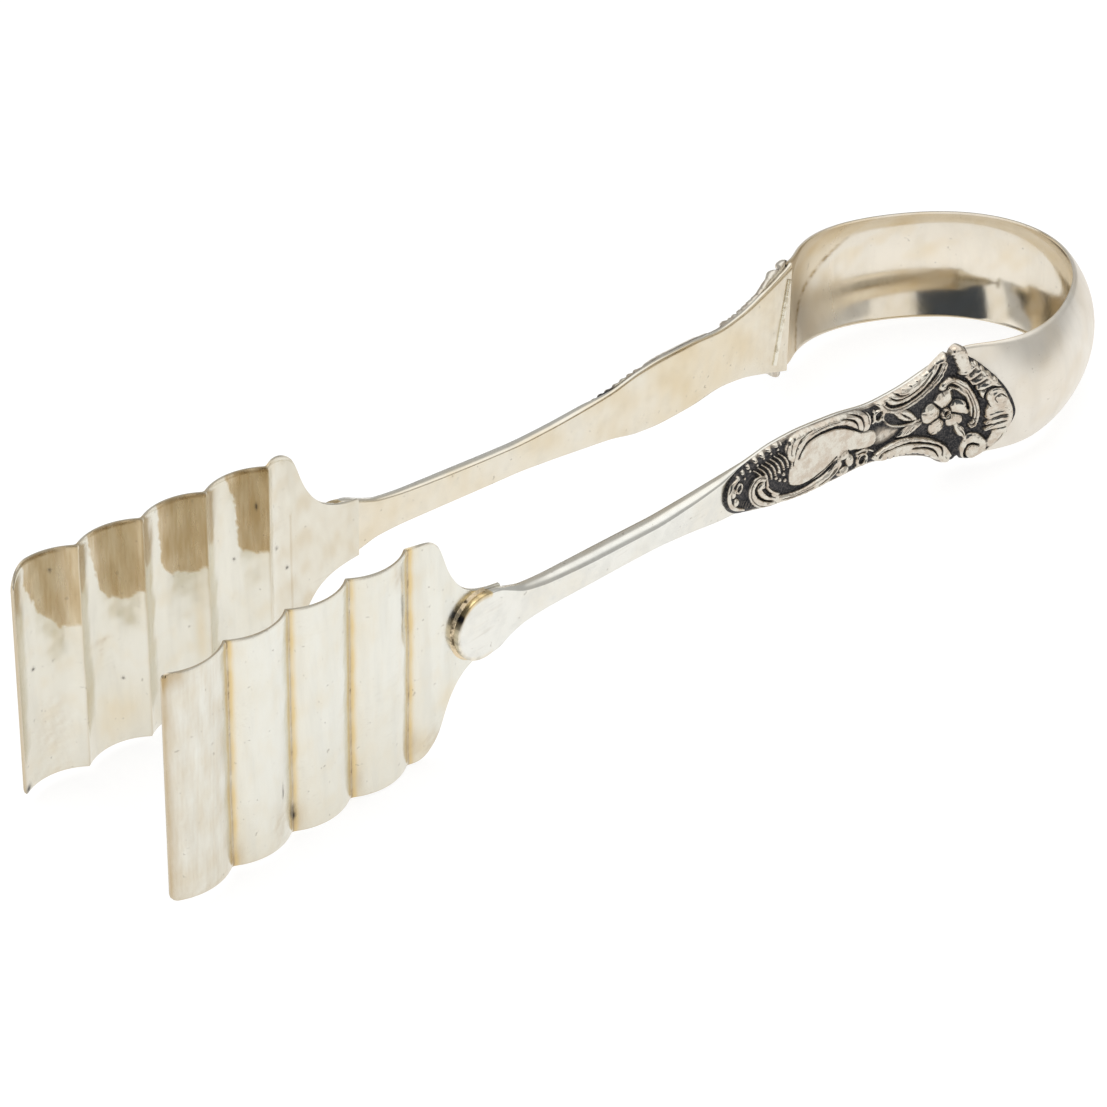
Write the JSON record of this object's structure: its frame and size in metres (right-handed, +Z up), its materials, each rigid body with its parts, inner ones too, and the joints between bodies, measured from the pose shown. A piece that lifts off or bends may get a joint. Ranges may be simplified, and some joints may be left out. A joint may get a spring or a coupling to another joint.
{
  "type": "ice tongs",
  "caption": "Antique silver spring tongs: wide fluted jaws on slim cast arms with scrolled ornaments, joined by a domed sprung bow that opens again when released.",
  "frame": {"origin": "on the table under the middle of the tongs' bounding box, as they lie at rest on the lower edges of both jaws and the lower rim of the bow", "axes": "+X along the tongs from the jaw tips to the bow, +Y across to the right arm, +Z up; each jaw stands on edge, so its width runs up along Z"},
  "size_m": [0.2434, 0.0658, 0.0471],
  "materials": {
    "jaw_silver": "satin worn silver with tan tarnish along the flutes",
    "arm_silver": "satin worn silver, warm inside, brighter on the bevels",
    "ornament_silver": "oxidised near-black recesses with polished high points",
    "bow_silver": "smooth satin silver, browner inside",
    "solder": "yellowed silver solder with dark grime"
  },
  "bodies": {
    "bow": {"bow": "bow_silver"},
    "right_side": {"right_blade": "jaw_silver", "right_arm": "arm_silver", "right_ornament": "ornament_silver", "right_blade_solder": "solder", "right_bow_solder": "solder"},
    "left_side": {"left_blade": "jaw_silver", "left_arm": "arm_silver", "left_ornament": "ornament_silver", "left_blade_solder": "solder", "left_bow_solder": "solder"}
  },
  "joints": [
    {"name": "right_squeeze", "type": "hinge", "parent": "bow", "child": "right_side", "pos_m": [0.10687, 0.016, 0.0126], "axis": [0.0597, 0, 0.9982], "range_deg": [-1.5, 4.7], "stiffness_Nm_per_rad": 6, "deforming": ["bow"]},
    {"name": "left_squeeze", "type": "hinge", "parent": "bow", "child": "left_side", "pos_m": [0.10687, -0.016, 0.0126], "axis": [0.0597, 0, 0.9982], "range_deg": [-4.7, 1.5], "stiffness_Nm_per_rad": 6, "deforming": ["bow"]}
  ],
  "couplings": [
    {"joint": "left_squeeze", "follows": "right_squeeze", "ratio": -1}
  ]
}
